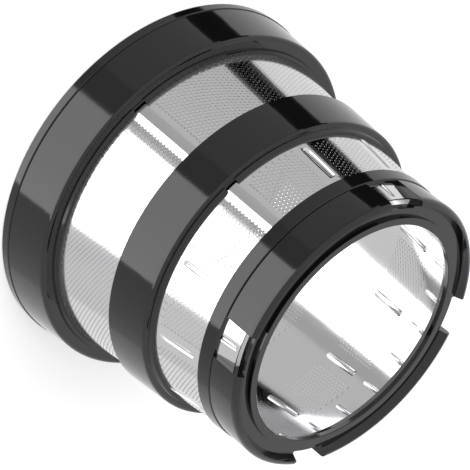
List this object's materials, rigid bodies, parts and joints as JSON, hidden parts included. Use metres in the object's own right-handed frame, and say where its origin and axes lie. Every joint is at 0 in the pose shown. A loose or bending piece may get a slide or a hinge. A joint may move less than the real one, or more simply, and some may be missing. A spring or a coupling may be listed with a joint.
{
  "type": "slow juicer strainer basket",
  "caption": "Open conical strainer basket: a rolled, perforated steel sheet with pressed beads, held by moulded black rings, with bayonet windows at the narrow end.",
  "frame": {"origin": "centre of the wide rim's plane, which is the face that the part stands on", "axes": "+Z along the axis of the cone, from the wide rim to the narrow front edge; -Y is the side that the picture shows nearest"},
  "size_m": [0.11, 0.11, 0.0852],
  "materials": {
    "steel": "bright rolled stainless steel",
    "top_plastic": "gloss",
    "middle_plastic": "gloss",
    "bottom_plastic": "gloss"
  },
  "bodies": {
    "root": {"strainer_sleeve": "steel", "top_ring": "top_plastic", "middle_ring": "middle_plastic", "bottom_ring": "bottom_plastic"}
  },
  "joints": []
}
